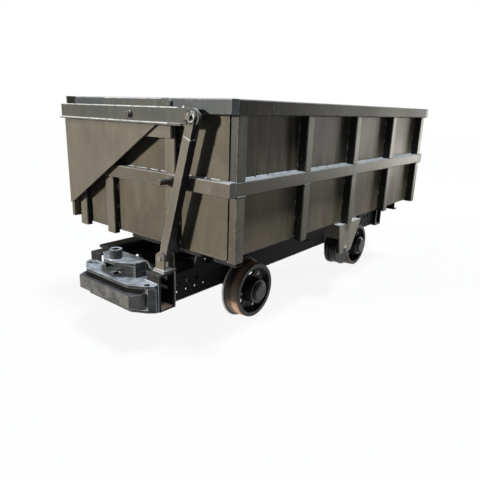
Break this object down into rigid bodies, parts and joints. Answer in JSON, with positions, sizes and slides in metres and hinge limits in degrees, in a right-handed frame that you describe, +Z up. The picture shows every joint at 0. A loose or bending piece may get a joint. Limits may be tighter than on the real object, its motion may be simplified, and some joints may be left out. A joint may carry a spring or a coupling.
{
  "type": "side-tipping ore cart",
  "caption": "Rail cart with a ribbed steel box that tips to one side on frame hinges while end arms and links swing its side door open; spoked flanged wheels, end couplers.",
  "frame": {"origin": "on the floor under the middle of the cart, with the wheel flanges standing on Z = 0", "axes": "+X along the rails to the front coupler, +Y to the side with the unloading roller, away from the door, +Z up"},
  "size_m": [3.054, 1.32, 1.322],
  "materials": {
    "plate_paint": "satin dark green-grey paint, weathered brown",
    "rib_paint": "satin dark grey paint",
    "arm_paint": "satin dark green-grey paint",
    "frame_paint": "nearly black satin paint",
    "coupler_iron": "dark blue-grey oiled iron",
    "roller_iron": "dark cast iron",
    "wheel_iron": "dark cast iron with a rusty tread",
    "axle_steel": "turned steel"
  },
  "bodies": {
    "frame": {"axle_pedestals": "frame_paint", "buffer_bar_front": "coupler_iron", "buffer_bar_rear": "coupler_iron", "coupler_housing_front": "coupler_iron", "coupler_housing_rear": "coupler_iron", "cross_members": "frame_paint", "headstock_front": "frame_paint", "headstock_rear": "frame_paint", "hinge_sill": "frame_paint", "hitch_plate_front": "coupler_iron", "hitch_plate_rear": "coupler_iron", "link_lugs": "arm_paint", "rest_pads": "frame_paint", "side_beam_left": "frame_paint", "side_beam_right": "frame_paint"},
    "box": {"box_band_front": "rib_paint", "box_band_rear": "rib_paint", "box_band_side": "rib_paint", "box_bolsters": "frame_paint", "box_end_plate_front": "plate_paint", "box_end_plate_rear": "plate_paint", "box_end_ribs_front": "rib_paint", "box_end_ribs_rear": "rib_paint", "box_floor": "frame_paint", "box_hinge_ears": "frame_paint", "box_rim_front": "rib_paint", "box_rim_rear": "rib_paint", "box_rim_side": "rib_paint", "box_side_panel": "plate_paint", "box_side_ribs": "rib_paint", "pivot_plates": "arm_paint", "roller_bracket": "arm_paint"},
    "door": {"door_arm_front": "arm_paint", "door_arm_rear": "arm_paint", "door_band": "rib_paint", "door_panel": "plate_paint", "door_ribs": "rib_paint", "door_rim": "rib_paint"},
    "link_front": {"link_front": "arm_paint"},
    "link_rear": {"link_rear": "arm_paint"},
    "roller": {"unloading_roller": "roller_iron"},
    "wheelset_front": {"axle_front": "axle_steel", "wheels_front": "wheel_iron"},
    "wheelset_rear": {"axle_rear": "axle_steel", "wheels_rear": "wheel_iron"}
  },
  "joints": [
    {"name": "box_tip", "type": "hinge", "parent": "frame", "child": "box", "pos_m": [0, -0.29, 0.498], "axis": [1, 0, 0], "range_deg": [0, 36]},
    {"name": "door_swing", "type": "hinge", "parent": "box", "child": "door", "pos_m": [0, 0.01, 1.237], "axis": [1, 0, 0], "range_deg": [-43, 0]},
    {"name": "link_swing_front", "type": "hinge", "parent": "frame", "child": "link_front", "pos_m": [1.306, 0.254, 0.516], "axis": [1, 0, 0], "range_deg": [0, 38.3]},
    {"name": "link_swing_rear", "type": "hinge", "parent": "frame", "child": "link_rear", "pos_m": [-1.306, 0.254, 0.516], "axis": [1, 0, 0], "range_deg": [0, 38.3]},
    {"name": "roller_spin", "type": "hinge", "parent": "box", "child": "roller", "pos_m": [0, 0.58, 0.362], "axis": [0, 1, 0], "continuous": true},
    {"name": "wheelset_front_spin", "type": "hinge", "parent": "frame", "child": "wheelset_front", "pos_m": [0.703, 0, 0.1925], "axis": [0, 1, 0], "continuous": true},
    {"name": "wheelset_rear_spin", "type": "hinge", "parent": "frame", "child": "wheelset_rear", "pos_m": [-0.703, 0, 0.1925], "axis": [0, 1, 0], "continuous": true}
  ],
  "couplings": [
    {"joint": "door_swing", "follows": "box_tip", "ratio": -1.193},
    {"joint": "link_swing_front", "follows": "box_tip", "ratio": 1.06},
    {"joint": "link_swing_rear", "follows": "box_tip", "ratio": 1.06}
  ]
}
